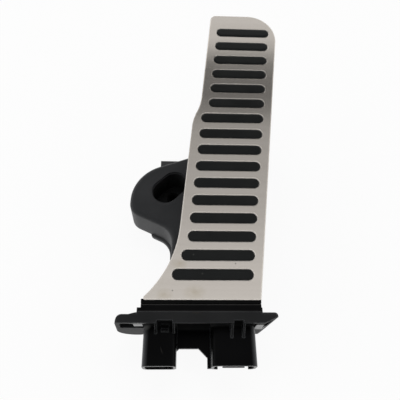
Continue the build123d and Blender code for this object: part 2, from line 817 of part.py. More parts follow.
with BuildSketch() as rib_plan:
    add(plate_plan.sketch)
    offset(amount=-plate_skirt, mode=Mode.SUBTRACT)
    with BuildSketch(mode=Mode.PRIVATE) as grid:
        for number in range(1, int(tread_length / plate_rib_pitch) + 1):
            with Locations((0, plate_rib_clear + plate_rib_pitch * number)):
                Rectangle(2 * tread_length, plate_rib)
        for step in (-1, 1):
            with Locations((link_x + step * plate_rib_pitch / 2, tread_length / 2)):
                Rectangle(plate_rib, 2 * tread_length, rotation=-tread_lean)
        add(plate_plan.sketch, mode=Mode.INTERSECT)
    add(grid.sketch)
    with Locations((0, plate_rib_clear)):
        Rectangle(2 * tread_length, tread_length, align=(Align.CENTER, Align.MAX), mode=Mode.SUBTRACT)

with BuildPart() as pedal_plate:
    add(bent_slab(rib_plan.sketch, plate_back, skin_back))
    add(bent_slab(plate_plan.sketch, skin_back, skin_top))
    add(bent_slab(rim_plan.sketch, skin_top, plate_front))
    # Bead and the web that joins it to the plate
    with BuildSketch(tread_side.offset(band_left)):
        Circle(bead_radius)
        Rectangle(tread_start, hinge_web, align=(Align.MIN, Align.CENTER))
    extrude(amount=band_right - band_left)
    # Boss for the ball cup
    with BuildSketch(tread.offset(skin_back)):
        with Locations((link_x, ball_v)):
            Circle(cup_radius + plate_skirt)
    extrude(amount=ball_height - skin_back)
    with BuildSketch(tread.offset(skin_back)):
        with Locations((link_x, ball_v)):
            Circle(cup_radius)
    extrude(amount=plate_back - skin_back + ball_height - skin_back, mode=Mode.SUBTRACT)
    # Pad that meets the stop at full travel, where the plate lies level over it
    with BuildSketch(tread.offset(skin_back)):
        with Locations(stop_place):
            Circle(stop_pad_radius)
    extrude(amount=-plate_depth)

pedal_plate.part.label = "pedal_plate"
export_step(pedal_plate.part, "parts/pedal_plate.step")

# Ball cup pressed into the plate's boss
with BuildPart() as ball_cup:
    with BuildSketch(tread.offset(skin_back)):
        with Locations((link_x, ball_v)):
            Circle(cup_radius)
    extrude(amount=ball_height - cup_lip - skin_back)
    with Locations((link_x - bolt_x, pedal_ball[0] - bolt_y, pedal_ball[1])):
        Sphere(pedal_ball_radius + running_gap, mode=Mode.SUBTRACT)

ball_cup.part.label = "ball_cup"
export_step(ball_cup.part, "parts/ball_cup.step")

# Push rod with a ball at each end
rod_way = (0, cos(radians(rod_angle)), sin(radians(rod_angle)))
with BuildPart() as push_rod:
    with BuildSketch(spot(link_x, pedal_ball, rod_way)):
        Circle(rod_radius)
    extrude(amount=rod_length)
    with Locations((link_x - bolt_x, pedal_ball[0] - bolt_y, pedal_ball[1])):
        Sphere(pedal_ball_radius)
    with Locations((link_x - bolt_x, lever_ball[0] - bolt_y, lever_ball[1])):
        Sphere(lever_ball_radius)

push_rod.part.label = "push_rod"
export_step(push_rod.part, "parts/push_rod.step")

# Rocker lever: hub, rod arm with its open socket, spring tail and slider finger
rod_swing = rod_turn - pedal_travel + lever_turn
socket_angle = rod_angle + 180 + rod_swing / 2
socket_radius = lever_ball_radius + open_gap
end_radius = socket_radius + socket_wall
with BuildPart() as drive_lever:
    with BuildSketch(side(link_x)):
        with Locations(pivot):
            Circle(lever_arm)
        with Locations(lever_ball):
            Circle(lever_arm)
        make_hull()
    extrude(amount=lever_thickness / 2, both=True)
    with BuildSketch(side(link_x)):
        with Locations(pivot):
            Circle(hub_radius)
        with Locations(tail_end):
            Circle(tail_half)
        make_hull()
    extrude(amount=lever_thickness / 2, both=True)
    with BuildSketch(side(link_x)):
        with Locations(pivot):
            Circle(hub_radius)
    extrude(amount=hub_length / 2, both=True)
    with BuildSketch(side(link_x)):
        with Locations(lever_ball):
            Circle(end_radius)
    extrude(amount=end_radius, both=True)
    with BuildSketch(side(link_x)):
        with Locations(Location((pivot[0], pivot[1], 0), (0, 0, finger_angle))):
            Rectangle(finger_length, finger_neck, align=(Align.MIN, Align.CENTER))
        with Locations(finger_tip):
            Circle(finger_radius)
    extrude(amount=lever_thickness / 2, both=True)
    # Spherical seat, cut open towards the rod
    with Locations((link_x - bolt_x, lever_ball[0] - bolt_y, lever_ball[1])):
        Sphere(socket_radius, mode=Mode.SUBTRACT)
    with BuildSketch(side(link_x)):
        with Locations(Location((lever_ball[0], lever_ball[1], 0), (0, 0, socket_angle))):
            with Locations((cup_lip, 0)):
                Rectangle(2 * end_radius, 2 * socket_radius, align=(Align.MIN, Align.CENTER))
    extrude(amount=2 * end_radius, both=True, mode=Mode.SUBTRACT)
    # Bore for the shaft and flat for the spring seat
    with BuildSketch(side(link_x)):
        with Locations(pivot):
            Circle(shaft_radius)
    extrude(amount=hub_length, both=True, mode=Mode.SUBTRACT)
    with BuildSketch(level(seat_low)):
        with Locations((link_x, tail_end[0])):
            Circle(outer_spring_radius + outer_spring_wire)
    extrude(amount=tail_length, mode=Mode.SUBTRACT)

drive_lever.part.label = "drive_lever"
export_step(drive_lever.part, "parts/drive_lever.step")

# Shaft through the lever's hub and both bushes
shaft_half = hub_length / 2 + body_gap + bush_flange_wall + cheek_thickness
with BuildPart() as pivot_shaft:
    with BuildSketch(side(link_x)):
        with Locations(pivot):
            Circle(shaft_radius)
    extrude(amount=shaft_half, both=True)
    chamfer(pivot_shaft.edges().filter_by(GeomType.CIRCLE), shaft_chamfer)

pivot_shaft.part.label = "pivot_shaft"
export_step(pivot_shaft.part, "parts/pivot_shaft.step")

# Flanged bushes in the housing's cheeks
for bush_name, edge in (("left_bush", -1), ("right_bush", 1)):
    bush_face = link_x + edge * (hub_length / 2 + body_gap)
    with BuildPart() as bush:
        with BuildSketch(side(bush_face)):
            with Locations(pivot):
                Circle(bush_radius + bush_flange)
        extrude(amount=edge * bush_flange_wall)
        with BuildSketch(side(bush_face)):
            with Locations(pivot):
                Circle(bush_radius)
        extrude(amount=edge * (bush_flange_wall + cheek_thickness))
        with BuildSketch(side(bush_face)):
            with Locations(pivot):
                Circle(shaft_radius + running_gap)
        extrude(amount=edge * (bush_flange_wall + cheek_thickness), mode=Mode.SUBTRACT)
    bush.part.label = bush_name
    export_step(bush.part, "parts/" + bush_name + ".step")

# Seat on the lever's tail that centres the springs
with BuildPart() as spring_seat:
    with BuildSketch(level(seat_low)):
        with Locations((link_x, tail_end[0])):
            Circle(outer_spring_radius + outer_spring_wire)
    extrude(amount=seat_thickness)
    with BuildSketch(level(seat_top)):
        with Locations((link_x, tail_end[0])):
            Circle(seat_peg_radius)
    extrude(amount=seat_peg)
    chamfer(spring_seat.faces().sort_by(Axis.Z)[-1].edges(), seat_peg_chamfer)

spring_seat.part.label = "spring_seat"
export_step(spring_seat.part, "parts/spring_seat.step")

# Two nested return springs between the seat and the dome
for spring_name, radius, wire, turns in (
        ("outer_return_spring", outer_spring_radius, outer_spring_wire, outer_spring_turns),
        ("inner_return_spring", inner_spring_radius, inner_spring_wire, inner_spring_turns)):
    rise = spring_high - spring_low - wire
    with BuildPart() as spring:
        with BuildLine(level(spring_low + wire / 2)) as coil:
            Helix(rise / turns, rise, radius, center=(link_x, tail_end[0], 0))
        with BuildSketch(Plane(origin=coil.line @ 0, z_dir=coil.line % 0)):
            RegularPolygon(wire / 2, wire_sides)
        sweep(path=coil.line, is_frenet=True)
    spring.part.label = spring_name
    export_step(spring.part, "parts/" + spring_name + ".step")

# Rear cover with the slider's rails, the board's posts and the plug socket
with BuildPart() as rear_cover:
    with BuildSketch(level(0)) as cover_outline:
        add(housing_plan())
        offset(amount=cover_lip)
        with Locations((cover_left, housing_top / 2)):
            Rectangle(2 * housing_top, 3 * housing_top, align=(Align.MAX, Align.CENTER), mode=Mode.SUBTRACT)
        fillet(cover_outline.vertices().group_by(Axis.X)[0].sort_by(Axis.Y)[0], cover_corner)
        with BuildLine():
            Polyline((cover_tab_x, cover_tab_y), (cover_tab_right, cover_tab_y), (shoulder_x, housing_top),
                     (shoulder_x, bolt_y), (cover_tab_x, bolt_y), close=True)
        make_face()
        with Locations((link_x, housing_top)):
            Rectangle(socket_width, socket_end - housing_top, align=(Align.CENTER, Align.MIN))
        with Locations((0, cover_start)):
            Rectangle(3 * housing_top, housing_top, align=(Align.CENTER, Align.MAX), mode=Mode.SUBTRACT)
        with Locations((bolt_x, bolt_y)):
            Circle(sleeve_radius + boss_wall + cover_gap, mode=Mode.SUBTRACT)
    extrude(amount=cover_thickness)
    # Groove for the seal
    with BuildSketch(level(cover_thickness - seal_depth)):
        add(cavity_plan(seal_land + seal_width))
        add(cavity_plan(seal_land), mode=Mode.SUBTRACT)
    extrude(amount=seal_depth, mode=Mode.SUBTRACT)
    # Screw holes, sunk for the heads
    with BuildSketch(level(0)):
        with Locations(*screw_places):
            Circle(screw_radius)
    extrude(amount=cover_thickness, mode=Mode.SUBTRACT)
    with BuildSketch(level(0)):
        with Locations(*screw_places):
            Circle(screw_head)
    extrude(amount=screw_sink + screw_head_height, mode=Mode.SUBTRACT)
    # Rails that guide the carrier's tongues
    rail_inner = carrier_width / 2 + slide_gap
    for edge in (-1, 1):
        with BuildSketch(level(cover_thickness)):
            with Locations((link_x + edge * (rail_inner + rail_width / 2 + tongue_reach / 2), pivot[0])):
                Rectangle(rail_width + tongue_reach, rail_length)
        extrude(amount=carrier_z + carrier_thickness - cover_thickness)
        with BuildSketch(level(tongue_z - slide_gap)):
            with Locations((link_x + edge * (rail_inner + (tongue_reach + slide_gap) / 2), pivot[0])):
                Rectangle(tongue_reach + slide_gap, rail_length)
        extrude(amount=tongue_thickness + 2 * slide_gap, mode=Mode.SUBTRACT)
    # Posts under the board
    post_side = board_width / 2 - post_inset
    post_places = [(link_x + edge * post_side, y) for edge in (-1, 1)
                   for y in (board_start + post_inset, board_end - post_inset)]
    with BuildSketch(level(cover_thickness)):
        with Locations(*post_places):
            Circle(post_foot)
    extrude(amount=board_stand)
    with BuildSketch(level(cover_thickness)):
        with Locations(*post_places):
            Circle(post_pin)
    extrude(amount=board_stand + board_thickness + post_head)
    # Plug socket that opens up the pedal
    with BuildSketch(heel_view(socket_end)):
        with Locations((link_x, cover_thickness)):
            Rectangle(socket_width, socket_height, align=(Align.CENTER, Align.MIN))
    extrude(amount=socket_length)
    with BuildSketch(heel_view(socket_end)):
        with Locations((link_x, cover_thickness)):
            Rectangle(socket_width - 2 * socket_shell, socket_height - socket_shell,
                      align=(Align.CENTER, Align.MIN))
    extrude(amount=socket_length - socket_shell, mode=Mode.SUBTRACT)
    with BuildSketch(heel_view(socket_end - socket_shell)):
        with Locations((link_x, cover_thickness + socket_height)):
            Rectangle(socket_latch_width, socket_latch, align=(Align.CENTER, Align.MIN))
    extrude(amount=2 * socket_shell)
    # Holes for the pins through the socket's back
    with BuildSketch(heel_view(socket_end)):
        for number in range(pin_count):
            with Locations((pin_first + pin_pitch * number, pin_z)):
                Rectangle(pin_size, pin_size)
    extrude(amount=socket_length, mode=Mode.SUBTRACT)

rear_cover.part.label = "rear_cover"
export_step(rear_cover.part, "parts/rear_cover.step")

# Seal in the cover's groove
with BuildPart() as cover_gasket:
    with BuildSketch(level(cover_thickness - seal_depth)):
        add(cavity_plan(seal_land + seal_width))
        add(cavity_plan(seal_land), mode=Mode.SUBTRACT)
    extrude(amount=seal_depth)

cover_gasket.part.label = "cover_gasket"
export_step(cover_gasket.part, "parts/cover_gasket.step")

# Cover screws with sunk pan heads
with BuildPart() as cover_screws:
    with BuildSketch(level(screw_sink)):
        with Locations(*screw_places):
            Circle(screw_head)
    extrude(amount=screw_head_height)
    with BuildSketch(level(screw_sink)):
        with Locations(*screw_places):
            Circle(screw_radius)
    extrude(amount=screw_length)
    with BuildSketch(level(screw_sink)):
        with Locations(*screw_places):
            RegularPolygon(screw_radius, 6)
    extrude(amount=screw_recess, mode=Mode.SUBTRACT)

cover_screws.part.label = "cover_screws"
export_step(cover_screws.part, "parts/cover_screws.step")

# Steel sleeve that the fixing bolt pulls down on
with BuildPart() as distance_sleeve:
    with BuildSketch(Plane.XY):
        Circle(sleeve_radius)
        Circle(sleeve_bore, mode=Mode.SUBTRACT)
    extrude(amount=pocket_floor + sleeve_stand)

distance_sleeve.part.label = "distance_sleeve"
export_step(distance_sleeve.part, "parts/distance_sleeve.step")

# Circuit board on the cover's posts
board_middle = (link_x, (board_start + board_end) / 2)
with BuildPart() as circuit_board:
    with BuildSketch(level(board_z)):
        with Locations(board_middle):
            RectangleRounded(board_width, board_end - board_start, board_corner)
        with Locations(*post_places):
            Circle(post_pin, mode=Mode.SUBTRACT)
    extrude(amount=board_thickness)

circuit_board.part.label = "circuit_board"
export_step(circuit_board.part, "parts/circuit_board.step")

# Chips on the board
with BuildPart() as sensor_chips:
    with BuildSketch(level(board_top)):
        with Locations((link_x, chip_place)):
            Rectangle(chip_size[0], chip_size[1])
    extrude(amount=chip_size[2])
    with BuildSketch(level(board_top)):
        for number in range(small_chip_count):
            with Locations((link_x + small_chip_pitch * (number - (small_chip_count - 1) / 2), small_chip_place)):
                Rectangle(small_chip[0], small_chip[1])
    extrude(amount=small_chip[2])

sensor_chips.part.label = "sensor_chips"
export_step(sensor_chips.part, "parts/sensor_chips.step")

# Bent pins from the board into the plug socket
pin_start = board_end - pin_root
with BuildPart() as connector_pins:
    for number in range(pin_count):
        with BuildSketch(side(pin_first + pin_pitch * number)):
            with BuildLine():
                Polyline((pin_start, board_top), (pin_start, pin_z + pin_size / 2),
                         (socket_end - socket_length + pin_reach, pin_z + pin_size / 2),
                         (socket_end - socket_length + pin_reach, pin_z - pin_size / 2),
                         (pin_start + pin_size, pin_z - pin_size / 2), (pin_start + pin_size, board_top),
                         close=True)
            make_face()
        extrude(amount=pin_size / 2, both=True)

connector_pins.part.label = "connector_pins"
export_step(connector_pins.part, "parts/connector_pins.step")

# Target carrier that the lever's finger slides along the rails
with BuildPart() as target_carrier:
    with BuildSketch(level(carrier_z)):
        with Locations((link_x, finger_tip[0])):
            Rectangle(carrier_width, carrier_length)
            Rectangle(lever_thickness + 2 * body_gap, 2 * (finger_radius + body_gap), mode=Mode.SUBTRACT)
    extrude(amount=carrier_thickness)
    with BuildSketch(level(tongue_z)):
        with Locations((link_x, finger_tip[0])):
            Rectangle(carrier_width + 2 * tongue_reach, carrier_length)
            Rectangle(carrier_width, carrier_length, mode=Mode.SUBTRACT)
    extrude(amount=tongue_thickness)

target_carrier.part.label = "target_carrier"
export_step(target_carrier.part, "parts/target_carrier.step")

# Metal lamina under the carrier
with BuildPart() as metal_lamina:
    with BuildSketch(level(lamina_z)):
        with Locations((link_x, finger_tip[0])):
            RectangleRounded(carrier_width - 2 * lamina_inset, carrier_length - 2 * lamina_inset, lamina_corner)
    extrude(amount=lamina_thickness)

metal_lamina.part.label = "metal_lamina"
export_step(metal_lamina.part, "parts/metal_lamina.step")

# Rubber stop that ends the pedal's travel: its top meets the pad on the plate's back
stop_height = hinge_z + plate_back - body_gap - front_z
with BuildPart() as pedal_stop:
    with BuildSketch(level(front_z)):
        with Locations(stop_place):
            Circle(stop_radius)
    extrude(amount=stop_height)
    chamfer(pedal_stop.faces().sort_by(Axis.Z)[-1].edges(), stop_chamfer)
    with BuildSketch(level(cavity_top)):
        with Locations(stop_place):
            Circle(stop_peg)
    extrude(amount=wall)

pedal_stop.part.label = "pedal_stop"
export_step(pedal_stop.part, "parts/pedal_stop.step")

# Rubber stop under the lever's tail at rest
rest_height = tail_end[1] - tail_half - body_gap - cover_thickness
with BuildPart() as rest_stop:
    with BuildSketch(level(cover_thickness)):
        with Locations((link_x, tail_end[0])):
            Circle(rest_radius)
    extrude(amount=rest_height)
    chamfer(rest_stop.faces().sort_by(Axis.Z)[-1].edges(), rest_chamfer)

rest_stop.part.label = "rest_stop"
export_step(rest_stop.part, "parts/rest_stop.step")
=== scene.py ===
import math

import bpy
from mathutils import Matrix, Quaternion, Vector


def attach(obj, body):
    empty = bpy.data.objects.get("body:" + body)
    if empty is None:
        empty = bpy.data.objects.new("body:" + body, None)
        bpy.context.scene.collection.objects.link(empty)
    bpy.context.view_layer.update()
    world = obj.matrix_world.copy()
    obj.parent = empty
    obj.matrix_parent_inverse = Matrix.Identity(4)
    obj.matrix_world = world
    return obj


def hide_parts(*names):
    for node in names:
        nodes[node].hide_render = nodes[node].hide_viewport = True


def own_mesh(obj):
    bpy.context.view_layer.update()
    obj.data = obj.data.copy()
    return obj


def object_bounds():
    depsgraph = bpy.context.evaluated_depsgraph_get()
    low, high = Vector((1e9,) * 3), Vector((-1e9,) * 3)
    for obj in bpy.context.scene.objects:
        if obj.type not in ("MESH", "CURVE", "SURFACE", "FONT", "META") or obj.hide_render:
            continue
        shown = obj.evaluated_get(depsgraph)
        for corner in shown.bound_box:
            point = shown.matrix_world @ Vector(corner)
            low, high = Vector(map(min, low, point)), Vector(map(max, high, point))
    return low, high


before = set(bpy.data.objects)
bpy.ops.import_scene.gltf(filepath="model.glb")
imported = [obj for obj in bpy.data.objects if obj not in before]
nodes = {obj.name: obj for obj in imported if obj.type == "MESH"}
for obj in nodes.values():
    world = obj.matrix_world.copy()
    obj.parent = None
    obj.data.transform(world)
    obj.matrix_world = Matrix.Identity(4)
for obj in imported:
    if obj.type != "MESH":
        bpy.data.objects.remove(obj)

cad_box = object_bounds()
mm = 0.001

# Return springs, in the part's own frame: coil name, node, radius, wire and turns of each
spring_axis = (34.0 * mm, -72.7 * mm)
spring_foot = 19.7 * mm
spring_head = 34.35 * mm
outer_spring = ("outer_coil", "outer_return_spring", 6.6 * mm, 1.3 * mm, 5)
inner_spring = ("inner_coil", "inner_return_spring", 4.0 * mm, 1.0 * mm, 6)
wire_sides = 12
steps_per_turn = 40
smooth_angle = math.radians(40)

# Housing: the legs' outer sides, and the places up the pedal where the finish or the painted light changes
legs_left = -15.7 * mm
legs_right = 56.0 * mm
smooth_legs_end = -110.4 * mm
legs_end = -109.6 * mm
flange_start = -108.8 * mm
flange_end = -98.0 * mm
lobe_start = -88.0 * mm
body_start = -40.0 * mm
ledge_light_full = -26.0 * mm
lobe_soft_end = -22.0 * mm
lobe_crisp_start = -12.0 * mm

# Bolt pocket in the lobe: middle and reach of its oval, the height below which its painted shade is full,
# and the height of the ledge in it
pocket_oval = ((-2.0 * mm, -1.8 * mm, 22.0 * mm), (20.0 * mm, 14.5 * mm, 60.0 * mm))
pocket_turn = (0.0, 0.0, math.radians(45.6))
pocket_dark_end = 28.3 * mm
pocket_ledge = 28.7 * mm

# Handling marks: middle and reach of each
steel_stains = (
    ((-2.3 * mm, -92.6 * mm, 48.7 * mm), (6.0 * mm, 4.5 * mm, 6.0 * mm)),
    ((16.5 * mm, -91.2 * mm, 49.0 * mm), (8.5 * mm, 5.5 * mm, 6.0 * mm)),
    ((6.8 * mm, -73.6 * mm, 52.9 * mm), (6.0 * mm, 4.0 * mm, 6.0 * mm)),
)
steel_specks = ((2.6 * mm, -90.2 * mm, 49.2 * mm), (43.0 * mm, -73.4 * mm, 53.0 * mm))
rubber_specks = ((15.7 * mm, -68.1 * mm, 54.8 * mm), (21.5 * mm, -80.0 * mm, 52.2 * mm))
speck_reach = (0.6 * mm, 0.6 * mm, 0.6 * mm)
# Painted highlights on the foot beside the legs: middle and reach of each
foot_glints = (
    ((-18.5 * mm, -109.4 * mm, 39.0 * mm), (9.0 * mm, 4.0 * mm, 7.0 * mm)),
    ((59.5 * mm, -109.4 * mm, 35.0 * mm), (6.0 * mm, 4.0 * mm, 9.0 * mm)),
)
gate_mark = ((17.8 * mm, -103.2 * mm, 46.1 * mm), (3.5 * mm, 1.2 * mm, 3.0 * mm))
leg_scratch = ((-3.6 * mm, -123.9 * mm, 36.0 * mm), (0.4 * mm, 3.0 * mm, 2.0 * mm))
leg_scratch_turn = (0.0, 0.0, math.radians(20))

# Middle range of a pattern, which tones and roughness run over
pattern_low = 0.3
pattern_high = 0.7

# Range over which a share fades
pocket_fade = (0.08, 0.18)
glint_fade = (0.0, 0.4)
upright_fade = (0.2, 0.8)
outward_fade = (0.1, 1.0)
edge_fade = (0.965, 0.998)
bore_fade = (0.2, 0.5)

# Radius over which the shading turns at an edge
fine_edge = 0.2 * mm
tight_edge = 0.8 * mm
wide_edge = 4.5 * mm
cover_edge = 0.4 * mm
slick_edge = 1.0 * mm
metal_edge = 0.15 * mm
tread_edge = 1.25 * mm
edge_samples = 4

# Patterns, in cells per metre
cloud_grain = 45.0
housing_grain = 1700.0
cover_grain = 1300.0
slick_grain = 1500.0
bloom_grain = 60.0
pore_grain = 2600.0
metal_cloud_grain = 150.0
brush_grain = 900.0
long_brush_grain = 240.0
smear_grain = 38.0
patch_grain = 260.0

# Tones, dark and light
flange_tones = ((0.013, 0.0133, 0.0136), (0.017, 0.0173, 0.0177))
body_tones = ((0.027, 0.0277, 0.029), (0.034, 0.0348, 0.0362))
# Legs' fronts: near-black, painted shade for the dark reflection on them
leg_front_shade_tones = ((0.0012, 0.0012, 0.0013), (0.002, 0.002, 0.0021))
# Legs' outer sides: lighter, a painted sheen
leg_side_sheen_tones = ((0.058, 0.059, 0.062), (0.072, 0.073, 0.077))
# Inside the bolt pocket: darker, painted shade
pocket_shade_tones = ((0.017, 0.0172, 0.0176), (0.023, 0.0232, 0.0237))
scuff_tones = ((0.018, 0.0168, 0.0152), (0.023, 0.0213, 0.0192))
# Edges below the lobe: lighter, a painted highlight
rim_highlight_tones = ((0.040, 0.041, 0.043), (0.060, 0.062, 0.065))
# Foot beside the legs: much lighter, painted highlights
glint_tones = ((0.11, 0.11, 0.108), (0.15, 0.15, 0.147))
cover_tones = ((0.020, 0.0205, 0.0213), (0.027, 0.0275, 0.0286))
# Cover ledge below the lobe: lighter, painted light
ledge_light_tones = ((0.085, 0.086, 0.089), (0.11, 0.112, 0.115))
slick_tones = ((0.0018, 0.0018, 0.0019), (0.003, 0.003, 0.0031))
# Edges of the pedal plate and hinge strip: lighter, painted highlights
pedal_edge_highlight_tones = ((0.005, 0.0049, 0.0048), (0.008, 0.0078, 0.0076))
strip_edge_highlight_tones = ((0.034, 0.0332, 0.0324), (0.044, 0.043, 0.042))
rubber_dust_tones = ((0.06, 0.06, 0.056), (0.08, 0.08, 0.075))
grit_tones = ((0.05, 0.045, 0.04), (0.08, 0.07, 0.06))
# Edges of the steel tread: near white, a painted highlight
steel_edge_highlight_tones = ((0.88, 0.83, 0.77), (0.92, 0.87, 0.81))

# Tones with their places in the pattern
steel_stops = ((0.25, (0.495, 0.46, 0.42)), (0.75, (0.525, 0.49, 0.45)))
stain_stops = ((0.3, (0.95, 0.935, 0.90)), (0.6, (0.86, 0.835, 0.76)))

# Tint of the face-on shine
housing_shine = (0.035, 0.035, 0.037, 1.0)
slick_shine = (0.04, 0.04, 0.042, 1.0)
rubber_shine = (0.3, 0.33, 0.33, 1.0)

# Circuit board: solder resist, and the lanes and the weave under it
resist_tones = ((0.03, 0.15, 0.07, 1.0), (0.035, 0.17, 0.08, 1.0))
lane_tone = (0.05, 0.23, 0.10, 1.0)
lane_width = 0.06
lane_grain = 260.0
weave_grain = 1800.0

# Roughness, low and high
lobe_rough = (0.42, 0.54)
flange_rough = (0.52, 0.66)
leg_rough = (0.22, 0.32)
glint_rough = (0.14, 0.22)
cover_rough = (0.32, 0.46)
slick_rough = (0.30, 0.42)
tread_rough = (0.20, 0.26)
board_rough = (0.28, 0.40)

# Floor: a paper tone that keeps a faint shadow, and the shade inside the bolt's bore
floor_reach = 4.0
floor_gap = 0.2 * mm
floor_tone = (0.82, 0.82, 0.82, 1.0)
floor_glow_share = 0.92
bore_shade = ((0.0, 0.0, 0.0), (8.0 * mm, 8.0 * mm, 8.0 * mm))

# World
white_tone = (1.0, 1.0, 1.0, 1.0)
fill_level = 0.4
white_level = 1.0

# Grey card over the tread, which the brushed steel mirrors as a soft dark band
card_height = 0.23
card_start = -0.10
card_end = 0.15
card_half_width = 0.25
card_stops = (
    (0.0, (1.0, 1.0, 1.0)),
    (0.29, (0.75, 0.75, 0.75)),
    (0.66, (0.60, 0.60, 0.60)),
    (0.82, (0.20, 0.20, 0.20)),
    (1.0, (0.14, 0.14, 0.14)),
)

# Camera
camera_place = Vector((0.00993, -0.16625, 0.29696))
camera_aim = Vector((0.02005, -0.03033, 0.06))
camera_roll = math.radians(4.38)
camera_lens = 36.0
camera_sensor = 36.0


def start_finish(name, metallic, specular):
    """New material, with its node tree and its shader."""
    finish = bpy.data.materials.new(name)
    finish.use_nodes = True
    tree = finish.node_tree
    shader = tree.nodes["Principled BSDF"]
    shader.inputs["Metallic"].default_value = metallic
    shader.inputs["Specular IOR Level"].default_value = specular
    return finish, tree, shader


def grain(tree, scale, detail, stretch=(1.0, 1.0, 1.0)):
    """Noise on Object coordinates, stretched by a Mapping node."""
    place = tree.nodes.new("ShaderNodeTexCoord")
    mapping = tree.nodes.new("ShaderNodeMapping")
    mapping.inputs["Scale"].default_value = stretch
    noise = tree.nodes.new("ShaderNodeTexNoise")
    noise.inputs["Scale"].default_value = scale
    noise.inputs["Detail"].default_value = detail
    tree.links.new(place.outputs["Object"], mapping.inputs["Vector"])
    tree.links.new(mapping.outputs["Vector"], noise.inputs["Vector"])
    return noise.outputs["Fac"]


def spread(tree, value, low, high, start=pattern_low, end=pattern_high):
    """Takes a value's range from start to end to a low and a high number."""
    reach = tree.nodes.new("ShaderNodeMapRange")
    reach.inputs["From Min"].default_value = start
    reach.inputs["From Max"].default_value = end
    reach.inputs["To Min"].default_value = low
    reach.inputs["To Max"].default_value = high
    tree.links.new(value, reach.inputs["Value"])
    return reach.outputs["Result"]


def tones(tree, value, *stops):
    """Colour ramp over a pattern, from (place, colour) stops."""
    ramp = tree.nodes.new("ShaderNodeValToRGB")
    points = ramp.color_ramp.elements
    while len(points) < len(stops):
        points.new(0.5)
    for point, (where, colour) in zip(points, stops):
        point.position = where
        point.color = (*colour, 1.0)
    tree.links.new(value, ramp.inputs["Fac"])
    return ramp.outputs["Color"]


def two_tones(tree, pattern, dark, light):
    """Colour ramp from dark to light over a pattern's middle range."""
    return tones(tree, pattern, (pattern_low, dark), (pattern_high, light))


def spot(tree, place, reach, turn=(0.0, 0.0, 0.0)):
    """Share that falls from 1 at a place to 0 at its reach along each axis."""
    source = tree.nodes.new("ShaderNodeTexCoord")
    mapping = tree.nodes.new("ShaderNodeMapping")
    mapping.vector_type = "TEXTURE"
    mapping.inputs["Location"].default_value = place
    mapping.inputs["Rotation"].default_value = turn
    mapping.inputs["Scale"].default_value = reach
    fall = tree.nodes.new("ShaderNodeTexGradient")
    fall.gradient_type = "SPHERICAL"
    tree.links.new(source.outputs["Object"], mapping.inputs["Vector"])
    tree.links.new(mapping.outputs["Vector"], fall.inputs["Vector"])
    return fall.outputs["Fac"]


def combine(tree, operation, first, second):
    """One number from two shares, such as their product or the larger one."""
    sums = tree.nodes.new("ShaderNodeMath")
    sums.operation = operation
    tree.links.new(first, sums.inputs[0])
    tree.links.new(second, sums.inputs[1])
    return sums.outputs["Value"]


def blend(tree, kind, share, first, second, mode="MIX"):
    """Mixes two colours, numbers or normals by a share that a pattern gives."""
    mix = tree.nodes.new("ShaderNodeMix")
    mix.data_type = kind
    mix.blend_type = mode
    tree.links.new(share, mix.inputs["Factor"])
    tree.links.new(first, mix.inputs["A"])
    tree.links.new(second, mix.inputs["B"])
    return mix.outputs["Result"]


def soft_edge(tree, radius):
    """Normal that turns softly over the piece's edges."""
    bevel = tree.nodes.new("ShaderNodeBevel")
    bevel.samples = edge_samples
    bevel.inputs["Radius"].default_value = radius
    return bevel.outputs["Normal"]


def edge_share(tree, rounded):
    """Share that is 1 on the piece's edges and 0 on its faces."""
    surface = tree.nodes.new("ShaderNodeNewGeometry")
    match = tree.nodes.new("ShaderNodeVectorMath")
    match.operation = "DOT_PRODUCT"
    tree.links.new(rounded, match.inputs[0])
    tree.links.new(surface.outputs["Normal"], match.inputs[1])
    return spread(tree, match.outputs["Value"], 1.0, 0.0, *edge_fade)


def relief(tree, shader, value, depth, strength, base=None):
    """Bump from a pattern, on top of another normal where one is given."""
    bump = tree.nodes.new("ShaderNodeBump")
    bump.inputs["Strength"].default_value = strength
    bump.inputs["Distance"].default_value = depth
    tree.links.new(value, bump.inputs["Height"])
    if base is not None:
        tree.links.new(base, bump.inputs["Normal"])
    tree.links.new(bump.outputs["Normal"], shader.inputs["Normal"])


def place_along(tree, axis):
    """Place of the surface along an axis."""
    place = tree.nodes.new("ShaderNodeTexCoord")
    parts = tree.nodes.new("ShaderNodeSeparateXYZ")
    tree.links.new(place.outputs["Object"], parts.inputs["Vector"])
    return parts.outputs[axis]


def share_along(tree, start, end, axis="Y"):
    """Share that goes from 0 to 1 between two places, up the pedal or along another axis."""
    return spread(tree, place_along(tree, axis), 0.0, 1.0, start, end)


def facing(tree, axis):
    """How far the surface faces along an axis, from -1 to 1."""
    surface = tree.nodes.new("ShaderNodeNewGeometry")
    parts = tree.nodes.new("ShaderNodeSeparateXYZ")
    tree.links.new(surface.outputs["Normal"], parts.inputs["Vector"])
    return parts.outputs[axis]


def upright_share(tree):
    """Share that is 0 on faces towards the driver, and 1 on upright ones and those turned away."""
    return spread(tree, facing(tree, "Z"), 1.0, 0.0, *upright_fade)


def outer_side_sheen_share(tree):
    """Share that is 1 on the legs' outer sides and 0 on their fronts and inner sides, where a sheen is
    painted.
    """
    across = spread(tree, place_along(tree, "X"), -1.0, 1.0, legs_left, legs_right)
    outward = combine(tree, "MULTIPLY", across, facing(tree, "X"))
    return spread(tree, outward, 0.0, 1.0, *outward_fade)


def moulded_plastic(name, dark, light, rough, specular, grain_size, depth, edge):
    """Moulded plastic: spark-eroded grain, cloudy tone and softened edges."""
    finish, tree, shader = start_finish(name, metallic=0.0, specular=specular)
    cloud = grain(tree, cloud_grain, detail=3.0)
    skin = grain(tree, grain_size, detail=3.0)
    tree.links.new(two_tones(tree, cloud, dark, light), shader.inputs["Base Color"])
    tree.links.new(spread(tree, skin, *rough), shader.inputs["Roughness"])
    relief(tree, shader, skin, depth=depth, strength=1.0, base=soft_edge(tree, edge))
    return finish


